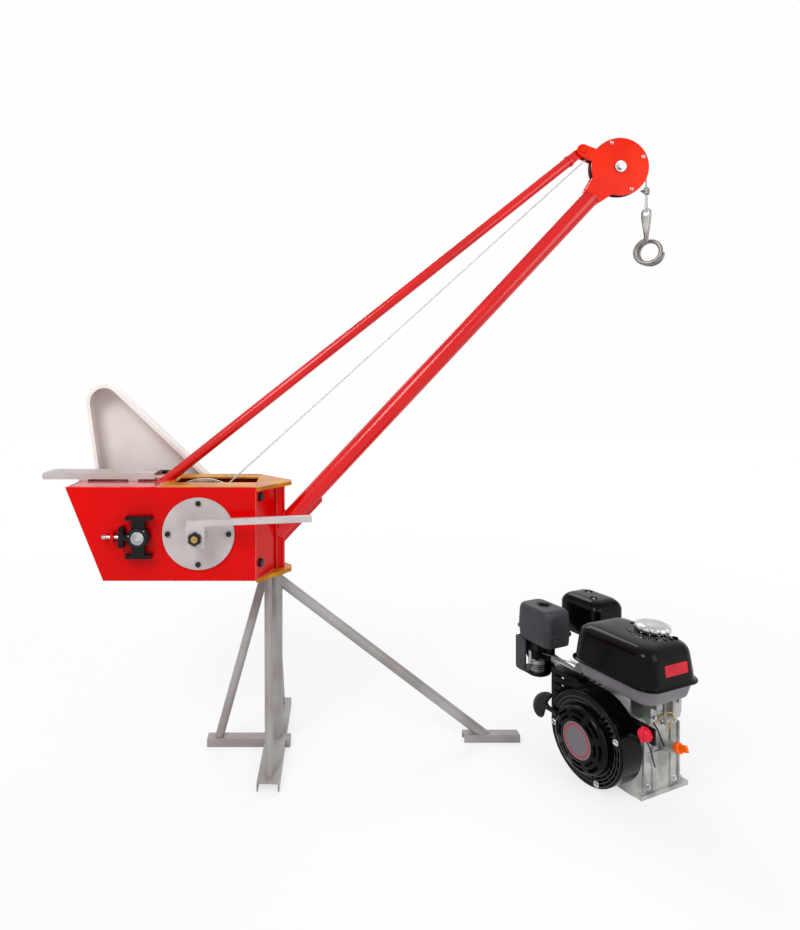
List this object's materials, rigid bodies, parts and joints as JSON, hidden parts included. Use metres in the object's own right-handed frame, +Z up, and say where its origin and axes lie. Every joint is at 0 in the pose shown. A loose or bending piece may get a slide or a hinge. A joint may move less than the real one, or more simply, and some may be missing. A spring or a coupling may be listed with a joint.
{
  "type": "petrol jib crane",
  "caption": "Slewing winch box with a braced tubular jib, sheave head and pigtail hook on a braced post, and a separate petrol engine beside it.",
  "frame": {"origin": "where the post's axis meets the floor", "axes": "+X to the right along the jib, +Y away from the viewer, towards the belt guard's side, +Z up"},
  "size_m": [2.0034, 0.6383, 1.9405],
  "materials": {
    "stand_grey": "satin grey paint",
    "red_paint": "glossy red paint, weld beads showing",
    "ochre_paint": "ochre paint, worn",
    "head_paint": "orange-red paint",
    "cover_grey": "light grey paint",
    "guard_grey": "pale grey paint on thin sheet",
    "bronze": "plain bearing bronze",
    "zinc": "zinc plated",
    "steel": "bare machined steel",
    "black_iron": "black cast iron",
    "wire_rope": "galvanised wire rope",
    "alloy": "die-cast alloy",
    "black_gloss": "gloss black",
    "black_enamel": "gloss black enamel",
    "black_plastic": "matt dark grey",
    "cap_chrome": "bright chrome",
    "red_plastic": "moulded red",
    "orange_plastic": "moulded orange"
  },
  "bodies": {
    "stand": {"base_beam": "stand_grey", "cross_beam": "stand_grey", "post": "stand_grey", "left_brace": "stand_grey", "front_brace": "stand_grey", "rear_brace": "stand_grey", "right_strut": "stand_grey", "right_foot": "stand_grey", "engine_block": "alloy", "fan_shroud": "black_gloss", "recoil_cover": "black_gloss", "fuel_tank": "black_enamel", "air_filter": "black_plastic", "carburettor": "black_iron", "muffler_guard": "black_enamel"},
    "jib": {"front_plate": "red_paint", "rear_plate": "red_paint", "end_plate": "red_paint", "top_plate": "red_paint", "bottom_plate": "red_paint", "nose_front_plate": "red_paint", "nose_rear_plate": "red_paint", "upper_lug": "ochre_paint", "lower_lug": "ochre_paint", "sleeve": "red_paint", "slew_bush": "bronze", "boom": "red_paint", "tie": "red_paint", "head_front_cheek": "head_paint", "head_rear_cheek": "head_paint", "head_axle": "zinc", "tie_pin": "zinc", "drum_cover": "cover_grey", "drum_shaft": "steel", "engine_bed": "cover_grey", "belt_guard": "guard_grey", "screw_bracket": "red_paint", "chain": "black_iron", "rope_run": "wire_rope"},
    "drum": {"drum": "zinc", "drum_sprocket": "steel", "rope_on_drum": "wire_rope"},
    "sheave": {"sheave": "black_iron"},
    "hoist": {"rope_clip": "steel", "rope_loop": "wire_rope", "rope_fall": "wire_rope"},
    "hook": {"hook": "steel"},
    "takeup": {"takeup_front": "black_iron", "takeup_rear": "black_iron"},
    "tension_screw": {"tension_screw": "zinc"},
    "input_shaft": {"input_shaft": "zinc", "input_sprocket": "steel", "belt_pulley": "black_iron"},
    "clutch_lever": {"clutch_lever": "cover_grey"},
    "crankshaft": {"crankshaft": "zinc"},
    "starter_grip": {"starter_grip": "black_plastic"},
    "tank_cap": {"tank_cap": "cap_chrome"},
    "choke_lever": {"choke_lever": "zinc"},
    "engine_switch": {"engine_switch": "red_plastic"},
    "dipstick": {"dipstick": "orange_plastic"}
  },
  "joints": [
    {"name": "jib_slew", "type": "hinge", "parent": "stand", "child": "jib", "pos_m": [0, 0, 0], "axis": [0, 0, 1], "continuous": true},
    {"name": "drum_spin", "type": "hinge", "parent": "jib", "child": "drum", "pos_m": [-0.226, 0, 0.706], "axis": [0, 1, 0], "range_deg": [0, 1273.2]},
    {"name": "sheave_spin", "type": "hinge", "parent": "jib", "child": "sheave", "pos_m": [1.099, 0, 1.847], "axis": [0, 1, 0], "range_deg": [0, 636.7]},
    {"name": "hook_hoist", "type": "slide", "parent": "jib", "child": "hoist", "axis": [0, 0, -1], "range_m": [0, 1], "deforming": ["rope_fall"]},
    {"name": "hook_swing", "type": "hinge", "parent": "hoist", "child": "hook", "pos_m": [1.189, 0, 1.7062], "axis": [0.7071, 0.7071, 0], "range_deg": [-30, 30]},
    {"name": "takeup_slide", "type": "slide", "parent": "jib", "child": "takeup", "axis": [-1, 0, 0], "range_m": [-0.003, 0]},
    {"name": "tension_screw_turn", "type": "hinge", "parent": "takeup", "child": "tension_screw", "pos_m": [-0.48, -0.15405, 0.698], "axis": [-1, 0, 0], "range_deg": [-721, 1]},
    {"name": "input_shaft_spin", "type": "hinge", "parent": "takeup", "child": "input_shaft", "pos_m": [-0.402, 0, 0.698], "axis": [0, 1, 0], "range_deg": [0, 4074.4]},
    {"name": "clutch_lever_turn", "type": "hinge", "parent": "jib", "child": "clutch_lever", "pos_m": [-0.226, -0.2, 0.706], "axis": [0, -1, 0], "range_deg": [-25, 30]},
    {"name": "crankshaft_spin", "type": "hinge", "parent": "stand", "child": "crankshaft", "pos_m": [1.13636, -0.10933, 0.132], "axis": [0.9135, 0.4067, 0], "continuous": true},
    {"name": "starter_pull", "type": "slide", "parent": "stand", "child": "starter_grip", "axis": [-0.4045, 0.9085, 0.1045], "range_m": [0, 0.45], "stiffness_N_per_m": 40, "springref_m": -0.1},
    {"name": "tank_cap_turn", "type": "hinge", "parent": "stand", "child": "tank_cap", "pos_m": [1.09236, -0.22196, 0.446], "axis": [0, 0, 1], "range_deg": [0, 90]},
    {"name": "choke_lever_turn", "type": "hinge", "parent": "stand", "child": "choke_lever", "pos_m": [0.82831, 0.02937, 0.28], "axis": [-0.9135, -0.4067, 0], "range_deg": [0, 75]},
    {"name": "engine_switch_turn", "type": "hinge", "parent": "stand", "child": "engine_switch", "pos_m": [1.01101, -0.34903, 0.216], "axis": [-0.9135, -0.4067, 0], "range_deg": [0, 60]},
    {"name": "dipstick_turn", "type": "hinge", "parent": "stand", "child": "dipstick", "pos_m": [1.12185, -0.29311, 0.148], "axis": [0.3822, -0.8585, 0.342], "range_deg": [0, 720]}
  ],
  "couplings": [
    {"joint": "sheave_spin", "follows": "drum_spin", "ratio": 0.5},
    {"joint": "hook_hoist", "follows": "drum_spin", "m_per_rad": 0.045},
    {"joint": "input_shaft_spin", "follows": "drum_spin", "ratio": 3.2},
    {"joint": "tension_screw_turn", "follows": "takeup_slide", "rad_per_m": 4188.8}
  ]
}
